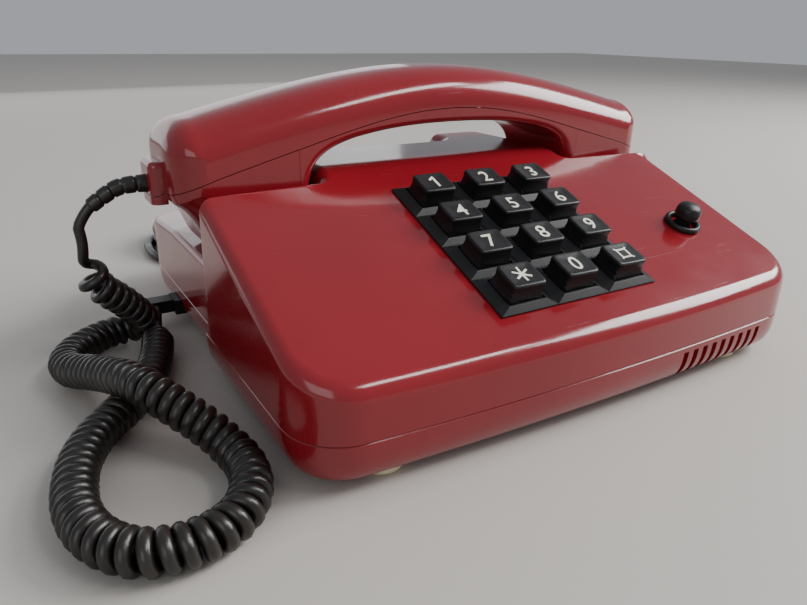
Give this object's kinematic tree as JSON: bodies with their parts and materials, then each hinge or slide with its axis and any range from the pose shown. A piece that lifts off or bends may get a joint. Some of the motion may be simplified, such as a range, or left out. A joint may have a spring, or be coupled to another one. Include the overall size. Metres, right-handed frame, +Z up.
{
  "type": "push-button desk telephone",
  "caption": "Glossy wine-red push-button desk telephone with the handset lying across the rear, a black raised keypad and a black curly handset cord.",
  "frame": {"origin": "middle of the telephone's footprint box, on the surface it stands on", "axes": "+X to the user's right along the handset, +Y to the rear, +Z up"},
  "size_m": [0.2723, 0.2915, 0.105],
  "materials": {
    "case_plastic": "high-gloss moulded wine-red plastic",
    "key_plastic": "satin black moulded plastic",
    "cord_pvc": "smooth black cord sheath",
    "foot_rubber": "cream rubber",
    "circuit_board": "brown paper laminate",
    "grey_rubber": "matte grey rubber",
    "steel": "plated steel",
    "ivory_plastic": "ivory moulded plastic"
  },
  "bodies": {
    "case": {"base_tray": "case_plastic", "case_screw_1": "steel", "case_screw_2": "steel", "case_screw_3": "steel", "case_screw_4": "steel", "foot_1": "foot_rubber", "foot_2": "foot_rubber", "foot_3": "foot_rubber", "foot_4": "foot_rubber", "ground_button_collar": "key_plastic", "ground_switch": "ivory_plastic", "handset_cord": "cord_pvc", "handset_cord_base_lead": "cord_pvc", "handset_cord_plug": "key_plastic", "handset_cord_top_lead": "cord_pvc", "hook_switch": "ivory_plastic", "keypad_bezel": "key_plastic", "keypad_board": "circuit_board", "keypad_mat": "grey_rubber", "line_cord": "cord_pvc", "line_cord_coil": "cord_pvc", "line_plug": "ivory_plastic", "line_strain_relief": "cord_pvc", "line_transformer": "steel", "main_board": "circuit_board", "sounder": "steel", "sounder_ring": "grey_rubber", "terminal_block": "ivory_plastic", "upper_case": "case_plastic"},
    "handset": {"handset_cord_socket": "case_plastic", "handset_lower_shell": "case_plastic", "handset_screw_1": "steel", "handset_screw_2": "steel", "handset_strain_relief": "cord_pvc", "handset_upper_shell": "case_plastic", "handset_weight": "steel", "microphone_capsule": "steel", "microphone_gasket": "grey_rubber", "receiver_capsule": "steel", "receiver_gasket": "grey_rubber"},
    "hook": {"hook_bar": "steel", "hook_plunger_1": "key_plastic", "hook_plunger_2": "key_plastic"},
    "key_body_star": {"key_star": "key_plastic"},
    "key_body_0": {"key_0": "key_plastic"},
    "key_body_square": {"key_square": "key_plastic"},
    "key_body_7": {"key_7": "key_plastic"},
    "key_body_8": {"key_8": "key_plastic"},
    "key_body_9": {"key_9": "key_plastic"},
    "key_body_4": {"key_4": "key_plastic"},
    "key_body_5": {"key_5": "key_plastic"},
    "key_body_6": {"key_6": "key_plastic"},
    "key_body_1": {"key_1": "key_plastic"},
    "key_body_2": {"key_2": "key_plastic"},
    "key_body_3": {"key_3": "key_plastic"},
    "button_body": {"ground_button": "key_plastic"}
  },
  "joints": [
    {"name": "handset_lift", "type": "slide", "parent": "case", "child": "handset", "axis": [0, 0, 1], "range_m": [0, 0.12]},
    {"name": "hook_rise", "type": "slide", "parent": "case", "child": "hook", "axis": [0, 0, 1], "range_m": [0, 0.004]},
    {"name": "key_star_press", "type": "slide", "parent": "case", "child": "key_body_star", "axis": [0, 0.3584, -0.9336], "range_m": [0, 0.0028], "stiffness_N_per_m": 220},
    {"name": "key_0_press", "type": "slide", "parent": "case", "child": "key_body_0", "axis": [0, 0.3584, -0.9336], "range_m": [0, 0.0028], "stiffness_N_per_m": 220},
    {"name": "key_square_press", "type": "slide", "parent": "case", "child": "key_body_square", "axis": [0, 0.3584, -0.9336], "range_m": [0, 0.0028], "stiffness_N_per_m": 220},
    {"name": "key_7_press", "type": "slide", "parent": "case", "child": "key_body_7", "axis": [0, 0.3584, -0.9336], "range_m": [0, 0.0028], "stiffness_N_per_m": 220},
    {"name": "key_8_press", "type": "slide", "parent": "case", "child": "key_body_8", "axis": [0, 0.3584, -0.9336], "range_m": [0, 0.0028], "stiffness_N_per_m": 220},
    {"name": "key_9_press", "type": "slide", "parent": "case", "child": "key_body_9", "axis": [0, 0.3584, -0.9336], "range_m": [0, 0.0028], "stiffness_N_per_m": 220},
    {"name": "key_4_press", "type": "slide", "parent": "case", "child": "key_body_4", "axis": [0, 0.3584, -0.9336], "range_m": [0, 0.0028], "stiffness_N_per_m": 220},
    {"name": "key_5_press", "type": "slide", "parent": "case", "child": "key_body_5", "axis": [0, 0.3584, -0.9336], "range_m": [0, 0.0028], "stiffness_N_per_m": 220},
    {"name": "key_6_press", "type": "slide", "parent": "case", "child": "key_body_6", "axis": [0, 0.3584, -0.9336], "range_m": [0, 0.0028], "stiffness_N_per_m": 220},
    {"name": "key_1_press", "type": "slide", "parent": "case", "child": "key_body_1", "axis": [0, 0.3584, -0.9336], "range_m": [0, 0.0028], "stiffness_N_per_m": 220},
    {"name": "key_2_press", "type": "slide", "parent": "case", "child": "key_body_2", "axis": [0, 0.3584, -0.9336], "range_m": [0, 0.0028], "stiffness_N_per_m": 220},
    {"name": "key_3_press", "type": "slide", "parent": "case", "child": "key_body_3", "axis": [0, 0.3584, -0.9336], "range_m": [0, 0.0028], "stiffness_N_per_m": 220},
    {"name": "ground_button_press", "type": "slide", "parent": "case", "child": "button_body", "axis": [0, 0.3584, -0.9336], "range_m": [0, 0.003], "stiffness_N_per_m": 220}
  ],
  "couplings": [
    {"joint": "hook_rise", "follows": "handset_lift", "ratio": 0.033333}
  ]
}
